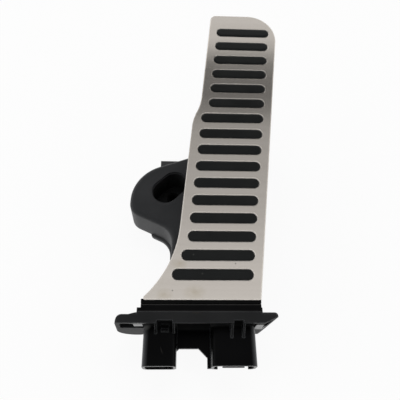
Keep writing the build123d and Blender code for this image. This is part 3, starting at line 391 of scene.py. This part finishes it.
def housing_plastic():
    """Housing moulding: a lighter eroded skin on the body; the floor legs painted near-black as shade, with
    a painted sheen on their outer sides.
    """
    finish, tree, shader = start_finish("housing_plastic_eroded", metallic=0.0, specular=0.8)
    shader.inputs["Specular Tint"].default_value = housing_shine
    cloud = grain(tree, cloud_grain, detail=3.0)
    skin = grain(tree, housing_grain, detail=3.0)
    tight = soft_edge(tree, tight_edge)
    below_lobe = share_along(tree, lobe_start, flange_end)
    pocket = spread(tree, spot(tree, *pocket_oval, pocket_turn), 0.0, 1.0, *pocket_fade)
    glints = [spread(tree, spot(tree, *glint), 0.0, 1.0, *glint_fade) for glint in foot_glints]

    # Tones by place: legs, flange and body, and the inside of the pocket; the legs' fronts painted
    # near-black as shade, a painted sheen on their outer sides, and painted shade in the pocket
    leg_front_shaded = two_tones(tree, cloud, *leg_front_shade_tones)
    leg_side_sheen = two_tones(tree, cloud, *leg_side_sheen_tones)
    # Legs: painted shade on the fronts, painted sheen on the outer sides
    legs = blend(tree, "RGBA", outer_side_sheen_share(tree), leg_front_shaded, leg_side_sheen)
    flange = two_tones(tree, cloud, *flange_tones)
    body = two_tones(tree, cloud, *body_tones)
    upper = blend(tree, "RGBA", share_along(tree, flange_end, body_start), flange, body)
    colour = blend(tree, "RGBA", share_along(tree, legs_end, flange_start), legs, upper)
    # Painted shade on the pocket's walls and below its ledge
    below_ledge = share_along(tree, pocket_ledge, pocket_dark_end, "Z")
    wall_or_deep = combine(tree, "MAXIMUM", upright_share(tree), below_ledge)
    painted_pocket_shade = combine(tree, "MULTIPLY", pocket, wall_or_deep)
    colour = blend(tree, "RGBA", painted_pocket_shade, colour, two_tones(tree, cloud, *pocket_shade_tones))

    # Marks, a painted highlight on the edges below the lobe, and painted highlights on the foot beside the
    # legs
    scuffed = two_tones(tree, cloud, *scuff_tones)
    colour = blend(tree, "RGBA", spot(tree, *gate_mark), colour, scuffed)
    colour = blend(tree, "RGBA", spot(tree, *leg_scratch, leg_scratch_turn), colour, scuffed)
    rim_highlight_share = combine(tree, "MULTIPLY", edge_share(tree, tight), below_lobe)
    colour = blend(tree, "RGBA", rim_highlight_share, colour, two_tones(tree, cloud, *rim_highlight_tones))
    # Painted highlights on the foot beside the legs
    glint_colour = two_tones(tree, cloud, *glint_tones)
    for glint in glints:
        colour = blend(tree, "RGBA", glint, colour, glint_colour)
    tree.links.new(colour, shader.inputs["Base Color"])

    # Roughness: slick legs, matt flange, and smoother where the glints are painted on the foot
    lobe_skin = spread(tree, skin, *lobe_rough)
    flange_skin = spread(tree, skin, *flange_rough)
    upper_skin = blend(tree, "FLOAT", below_lobe, lobe_skin, flange_skin)
    leg_skin = spread(tree, skin, *leg_rough)
    rough = blend(tree, "FLOAT", share_along(tree, smooth_legs_end, legs_end), leg_skin, upper_skin)
    polished_skin = spread(tree, skin, *glint_rough)
    for glint in glints:
        rough = blend(tree, "FLOAT", glint, rough, polished_skin)
    tree.links.new(rough, shader.inputs["Roughness"])

    # Edges: wide on the lobe's foot, tight below it, crisp at its top and round the pocket
    crisp = combine(tree, "MAXIMUM", pocket, share_along(tree, lobe_soft_end, lobe_crisp_start))
    edges = blend(tree, "VECTOR", below_lobe, soft_edge(tree, wide_edge), tight)
    edges = blend(tree, "VECTOR", crisp, edges, soft_edge(tree, fine_edge))
    relief(tree, shader, skin, depth=0.02 * mm, strength=1.0, base=edges)
    return finish


def cover_plastic():
    """Satin cover moulding, with painted light on the ledge below the lobe, which lies in the lobe's shade.
    """
    finish, tree, shader = start_finish("cover_plastic_satin", metallic=0.0, specular=0.3)
    cloud = grain(tree, cloud_grain, detail=3.0)
    skin = grain(tree, cover_grain, detail=3.0)
    sound = two_tones(tree, cloud, *cover_tones)
    ledge_lit = two_tones(tree, cloud, *ledge_light_tones)
    above_ledge = share_along(tree, ledge_light_full, lobe_crisp_start)
    unpainted_share = combine(tree, "MAXIMUM", upright_share(tree), above_ledge)
    tree.links.new(blend(tree, "RGBA", unpainted_share, ledge_lit, sound), shader.inputs["Base Color"])
    tree.links.new(spread(tree, skin, *cover_rough), shader.inputs["Roughness"])
    relief(tree, shader, skin, depth=0.02 * mm, strength=1.0, base=soft_edge(tree, cover_edge))
    return finish


def slick_plastic(name, edge_highlight_tones):
    """Slick deep-black skin with a painted highlight on its edges."""
    finish, tree, shader = start_finish(name, metallic=0.0, specular=0.6)
    shader.inputs["Specular Tint"].default_value = slick_shine
    cloud = grain(tree, cloud_grain, detail=3.0)
    skin = grain(tree, slick_grain, detail=3.0)
    rounded = soft_edge(tree, slick_edge)
    sound = two_tones(tree, cloud, *slick_tones)
    painted_edge_light = two_tones(tree, cloud, *edge_highlight_tones)
    colour = blend(tree, "RGBA", edge_share(tree, rounded), sound, painted_edge_light)
    tree.links.new(colour, shader.inputs["Base Color"])
    tree.links.new(spread(tree, skin, *slick_rough), shader.inputs["Roughness"])
    relief(tree, shader, skin, depth=0.02 * mm, strength=1.0, base=rounded)
    return finish


def black_rubber(name, dark, light, rough, specular, edge, specks=()):
    """Matt rubber with fine pores, a dusty bloom and specks of dust."""
    finish, tree, shader = start_finish(name, metallic=0.0, specular=specular)
    shader.inputs["Specular Tint"].default_value = rubber_shine
    bloom = grain(tree, bloom_grain, detail=4.0)
    pores = grain(tree, pore_grain, detail=2.0)
    colour = two_tones(tree, bloom, dark, light)
    dust = two_tones(tree, bloom, *rubber_dust_tones)
    for place in specks:
        colour = blend(tree, "RGBA", spot(tree, place, speck_reach), colour, dust)
    tree.links.new(colour, shader.inputs["Base Color"])
    tree.links.new(spread(tree, bloom, *rough), shader.inputs["Roughness"])
    relief(tree, shader, pores, depth=0.05 * mm, strength=0.6, base=soft_edge(tree, edge))
    return finish


def plain_metal(name, dark, light, rough, grain_size, stretch, depth):
    """Bare or plated metal with a drawn or tumbled surface."""
    finish, tree, shader = start_finish(name, metallic=1.0, specular=0.5)
    lines = grain(tree, grain_size, detail=3.0, stretch=stretch)
    cloud = grain(tree, metal_cloud_grain, detail=3.0)
    tree.links.new(two_tones(tree, cloud, dark, light), shader.inputs["Base Color"])
    tree.links.new(spread(tree, lines, *rough), shader.inputs["Roughness"])
    relief(tree, shader, lines, depth=depth, strength=0.5, base=soft_edge(tree, metal_edge))
    return finish


def brushed_tread():
    """Stainless sheet brushed across its width, with a painted highlight along its sheared edges, and marks
    near the heel.
    """
    finish, tree, shader = start_finish("tread_steel_brushed", metallic=1.0, specular=0.5)
    lines = grain(tree, brush_grain, detail=4.0, stretch=(0.012, 1.0, 1.0))
    long_lines = grain(tree, long_brush_grain, detail=3.0, stretch=(0.006, 1.0, 1.0))
    smears = grain(tree, smear_grain, detail=4.0, stretch=(0.6, 1.0, 1.0))
    patches = grain(tree, patch_grain, detail=3.0)
    rounded = soft_edge(tree, tread_edge)
    colour = tones(tree, long_lines, *steel_stops)
    stain = tones(tree, patches, *stain_stops)
    for place, reach in steel_stains:
        colour = blend(tree, "RGBA", spot(tree, place, reach), colour, stain, "MULTIPLY")
    grit = two_tones(tree, patches, *grit_tones)
    for place in steel_specks:
        colour = blend(tree, "RGBA", spot(tree, place, speck_reach), colour, grit)
    # Painted highlight along the sheet's edges
    edge_glint = two_tones(tree, smears, *steel_edge_highlight_tones)
    colour = blend(tree, "RGBA", edge_share(tree, rounded), colour, edge_glint)
    tree.links.new(colour, shader.inputs["Base Color"])
    tree.links.new(spread(tree, smears, *tread_rough), shader.inputs["Roughness"])
    relief(tree, shader, lines, depth=0.012 * mm, strength=0.5, base=rounded)
    return finish


def circuit_green():
    """Solder resist with faint copper lanes under it."""
    finish, tree, shader = start_finish("board_laminate_green", metallic=0.0, specular=0.5)
    place = tree.nodes.new("ShaderNodeTexCoord")
    lanes = tree.nodes.new("ShaderNodeTexBrick")
    lanes.inputs["Scale"].default_value = lane_grain
    lanes.inputs["Mortar Size"].default_value = lane_width
    lanes.inputs["Color1"].default_value = resist_tones[0]
    lanes.inputs["Color2"].default_value = resist_tones[1]
    lanes.inputs["Mortar"].default_value = lane_tone
    tree.links.new(place.outputs["Object"], lanes.inputs["Vector"])
    tree.links.new(lanes.outputs["Color"], shader.inputs["Base Color"])
    weave = grain(tree, weave_grain, detail=2.0)
    tree.links.new(spread(tree, weave, *board_rough), shader.inputs["Roughness"])
    relief(tree, shader, lanes.outputs["Fac"], depth=0.03 * mm, strength=0.5)
    return finish


def wound_spring(name, node, radius, wire, turns):
    """Coil turned from a wire circle, between the lever's seat and the dome."""
    bpy.ops.object.select_all(action="DESELECT")
    bpy.ops.mesh.primitive_circle_add(vertices=wire_sides, radius=wire / 2, rotation=(math.pi / 2, 0, 0))
    coil = bpy.context.active_object
    coil.name = name
    bpy.ops.object.transform_apply(location=True, rotation=True, scale=True)
    bpy.ops.object.mode_set(mode="EDIT")
    bpy.ops.mesh.select_all(action="SELECT")
    bpy.ops.transform.translate(value=(radius, 0, 0))
    bpy.ops.object.mode_set(mode="OBJECT")
    rise = spring_head - spring_foot - wire
    screw = coil.modifiers.new("winding", "SCREW")
    screw.axis = "Z"
    screw.angle = 2 * math.pi
    screw.screw_offset = rise / turns
    screw.iterations = turns
    screw.steps = steps_per_turn
    screw.render_steps = steps_per_turn
    screw.use_merge_vertices = False
    bpy.ops.object.modifier_apply(modifier="winding")
    bpy.ops.object.mode_set(mode="EDIT")
    bpy.ops.mesh.select_all(action="DESELECT")
    bpy.ops.mesh.select_mode(type="EDGE")
    bpy.ops.mesh.select_non_manifold()
    bpy.ops.mesh.fill_holes(sides=0)
    bpy.ops.mesh.select_all(action="SELECT")
    bpy.ops.mesh.normals_make_consistent(inside=False)
    bpy.ops.transform.translate(value=(spring_axis[0], spring_axis[1], spring_foot + wire / 2))
    bpy.ops.object.mode_set(mode="OBJECT")
    bpy.ops.object.shade_smooth_by_angle(angle=smooth_angle)
    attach(coil, "housing")
    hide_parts(node)
    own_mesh(coil)
    return coil


def dress(piece, finish):
    """Gives a piece one material in place of what it came with."""
    piece.data.materials.clear()
    piece.data.materials.append(finish)


def seen_share(tree):
    """Share of a ray that sees the white ground: camera, glossy and transmission rays."""
    path = tree.nodes.new("ShaderNodeLightPath")
    camera_or_glossy = combine(tree, "MAXIMUM", path.outputs["Is Camera Ray"], path.outputs["Is Glossy Ray"])
    return combine(tree, "MAXIMUM", camera_or_glossy, path.outputs["Is Transmission Ray"])


def softbox(name, place, aim, width, height, power):
    """Rectangular area light that looks at a point and isn't mirrored."""
    lamp = bpy.data.lights.new(name, "AREA")
    lamp.shape = "RECTANGLE"
    lamp.size = width
    lamp.size_y = height
    lamp.energy = power
    holder = bpy.data.objects.new(name, lamp)
    bpy.context.scene.collection.objects.link(holder)
    holder.location = place
    holder.rotation_euler = (Vector(aim) - Vector(place)).to_track_quat("-Z", "Y").to_euler()
    holder.visible_glossy = False


# Finishes
steel = brushed_tread()
mat_rubber = black_rubber(
    "tread_rubber_matt", dark=(0.0048, 0.0048, 0.0048), light=(0.0068, 0.0068, 0.0067),
    rough=(0.37, 0.49), specular=0.4, edge=2.4 * mm, specks=rubber_specks)
stop_rubber = black_rubber(
    "seal_rubber_soft", dark=(0.02, 0.02, 0.02), light=(0.03, 0.03, 0.03),
    rough=(0.65, 0.77), specular=0.2, edge=0.3 * mm)
pedal_black = slick_plastic("pedal_plastic_grained", pedal_edge_highlight_tones)
strip_black = slick_plastic("housing_plastic_strip", strip_edge_highlight_tones)
housing_black = housing_plastic()
cover_black = cover_plastic()
black_steel = moulded_plastic(
    "black_steel_phosphated", dark=(0.003, 0.003, 0.0031), light=(0.005, 0.005, 0.0052),
    rough=(0.64, 0.78), specular=0.02, grain_size=900.0, depth=0.01 * mm, edge=0.2 * mm)
chip_black = moulded_plastic(
    "chip_resin_moulded", dark=(0.015, 0.015, 0.017), light=(0.024, 0.024, 0.027),
    rough=(0.44, 0.58), specular=0.4, grain_size=2600.0, depth=0.01 * mm, edge=0.1 * mm)
acetal = moulded_plastic(
    "link_plastic_natural", dark=(0.52, 0.51, 0.47), light=(0.58, 0.57, 0.53),
    rough=(0.34, 0.48), specular=0.45, grain_size=900.0, depth=0.01 * mm, edge=0.2 * mm)
bearing = moulded_plastic(
    "bearing_plastic_bronze", dark=(0.38, 0.31, 0.17), light=(0.45, 0.38, 0.22),
    rough=(0.39, 0.53), specular=0.4, grain_size=1800.0, depth=0.01 * mm, edge=0.2 * mm)
zinc = plain_metal(
    "zinc_steel_plated", dark=(0.50, 0.50, 0.48), light=(0.60, 0.60, 0.57),
    rough=(0.27, 0.45), grain_size=700.0, stretch=(1, 1, 1), depth=0.01 * mm)
wire_steel = plain_metal(
    "spring_steel_oiled", dark=(0.28, 0.28, 0.29), light=(0.38, 0.38, 0.39),
    rough=(0.24, 0.42), grain_size=900.0, stretch=(1, 1, 0.2), depth=0.01 * mm)
tinned = plain_metal(
    "pin_metal_tinned", dark=(0.58, 0.53, 0.40), light=(0.66, 0.60, 0.45),
    rough=(0.22, 0.40), grain_size=900.0, stretch=(1, 0.1, 1), depth=0.005 * mm)
bright_sheet = plain_metal(
    "lamina_metal_rolled", dark=(0.62, 0.63, 0.64), light=(0.70, 0.71, 0.72),
    rough=(0.17, 0.35), grain_size=900.0, stretch=(1, 0.05, 1), depth=0.005 * mm)
board_green = circuit_green()

finish_of = {
    "steel_facing": steel,
    "tread_rubber": mat_rubber,
    "pedal_plate": pedal_black,
    "hinge_strip": strip_black,
    "base_housing": housing_black,
    "rear_cover": cover_black,
    "cover_gasket": stop_rubber,
    "pedal_stop": stop_rubber,
    "rest_stop": stop_rubber,
    "cover_screws": zinc,
    "distance_sleeve": black_steel,
    "pivot_shaft": zinc,
    "outer_return_spring": wire_steel,
    "inner_return_spring": wire_steel,
    "push_rod": acetal,
    "ball_cup": acetal,
    "drive_lever": acetal,
    "spring_seat": bearing,
    "left_bush": bearing,
    "right_bush": bearing,
    "target_carrier": acetal,
    "circuit_board": board_green,
    "sensor_chips": chip_black,
    "connector_pins": tinned,
    "metal_lamina": bright_sheet,
}
for node_name, finish in finish_of.items():
    dress(nodes[node_name], finish)

# Springs
for coil_facts in (outer_spring, inner_spring):
    dress(wound_spring(*coil_facts), wire_steel)

# Pale floor, white where it is seen, except inside the bore
bpy.ops.object.select_all(action="DESELECT")
bpy.ops.mesh.primitive_plane_add(size=floor_reach, location=(0, 0, cad_box[0][2] - floor_gap))
floor = bpy.context.active_object
floor.name = "floor"
floor_finish = bpy.data.materials.new("floor_paper")
floor_finish.use_nodes = True
floor_tree = floor_finish.node_tree
floor_tree.nodes.clear()
paper = floor_tree.nodes.new("ShaderNodeBsdfDiffuse")
paper.inputs["Color"].default_value = floor_tone
glow = floor_tree.nodes.new("ShaderNodeEmission")
floor_mix = floor_tree.nodes.new("ShaderNodeMixShader")
floor_out = floor_tree.nodes.new("ShaderNodeOutputMaterial")
glow_by_place = spread(floor_tree, spot(floor_tree, *bore_shade), floor_glow_share, 0.0, *bore_fade)
glow_share = combine(floor_tree, "MULTIPLY", seen_share(floor_tree), glow_by_place)
floor_tree.links.new(glow_share, floor_mix.inputs["Fac"])
floor_tree.links.new(paper.outputs["BSDF"], floor_mix.inputs[1])
floor_tree.links.new(glow.outputs["Emission"], floor_mix.inputs[2])
floor_tree.links.new(floor_mix.outputs["Shader"], floor_out.inputs["Surface"])
dress(floor, floor_finish)

# World: soft grey fill, white where it is seen
world = bpy.data.worlds.new("studio")
bpy.context.scene.world = world
world.use_nodes = True
world_tree = world.node_tree
world_tree.nodes.clear()
fill = world_tree.nodes.new("ShaderNodeBackground")
fill.inputs["Color"].default_value = white_tone
fill.inputs["Strength"].default_value = fill_level
white = world_tree.nodes.new("ShaderNodeBackground")
white.inputs["Color"].default_value = white_tone
white.inputs["Strength"].default_value = white_level
world_mix = world_tree.nodes.new("ShaderNodeMixShader")
world_out = world_tree.nodes.new("ShaderNodeOutputWorld")
world_tree.links.new(seen_share(world_tree), world_mix.inputs["Fac"])
world_tree.links.new(fill.outputs["Background"], world_mix.inputs[1])
world_tree.links.new(white.outputs["Background"], world_mix.inputs[2])
world_tree.links.new(world_mix.outputs["Shader"], world_out.inputs["Surface"])

# Lights
softbox("overhead_box", place=(0.02, 0.35, 0.95), aim=(0.02, 0.0, 0.05), width=0.9, height=0.35, power=3.0)
softbox("left_box", place=(-0.9, -0.1, 0.5), aim=(0.0, 0.0, 0.04), width=0.6, height=0.6, power=4.0)
softbox("right_box", place=(0.95, -0.05, 0.5), aim=(0.0, 0.0, 0.04), width=0.6, height=0.6, power=3.0)

# Grey card, seen in reflections alone
bpy.ops.object.select_all(action="DESELECT")
bpy.ops.mesh.primitive_plane_add(size=2.0)
card = bpy.context.active_object
card.name = "grey_card"
card.scale = (card_half_width, (card_end - card_start) / 2, 1.0)
card.location = (0.0, (card_start + card_end) / 2, card_height)
bpy.ops.object.transform_apply(location=True, rotation=True, scale=True)
card.visible_camera = False
card.visible_diffuse = False
card.visible_shadow = False
card_finish = bpy.data.materials.new("card_grey")
card_finish.use_nodes = True
card_tree = card_finish.node_tree
card_tree.nodes.clear()
card_glow = card_tree.nodes.new("ShaderNodeEmission")
card_out = card_tree.nodes.new("ShaderNodeOutputMaterial")
card_colour = tones(card_tree, share_along(card_tree, card_start, card_end), *card_stops)
card_tree.links.new(card_colour, card_glow.inputs["Color"])
card_tree.links.new(card_glow.outputs["Emission"], card_out.inputs["Surface"])
dress(card, card_finish)

# Camera at the photograph's viewing angle
view = bpy.data.cameras.new("view")
view.lens = camera_lens
view.sensor_width = camera_sensor
camera = bpy.data.objects.new("view", view)
bpy.context.scene.collection.objects.link(camera)
camera.location = camera_place
look = (camera_aim - camera_place).to_track_quat("-Z", "Y") @ Quaternion((0, 0, 1), camera_roll)
camera.rotation_euler = look.to_euler()
bpy.context.scene.camera = camera

bpy.context.scene.view_settings.view_transform = "Standard"
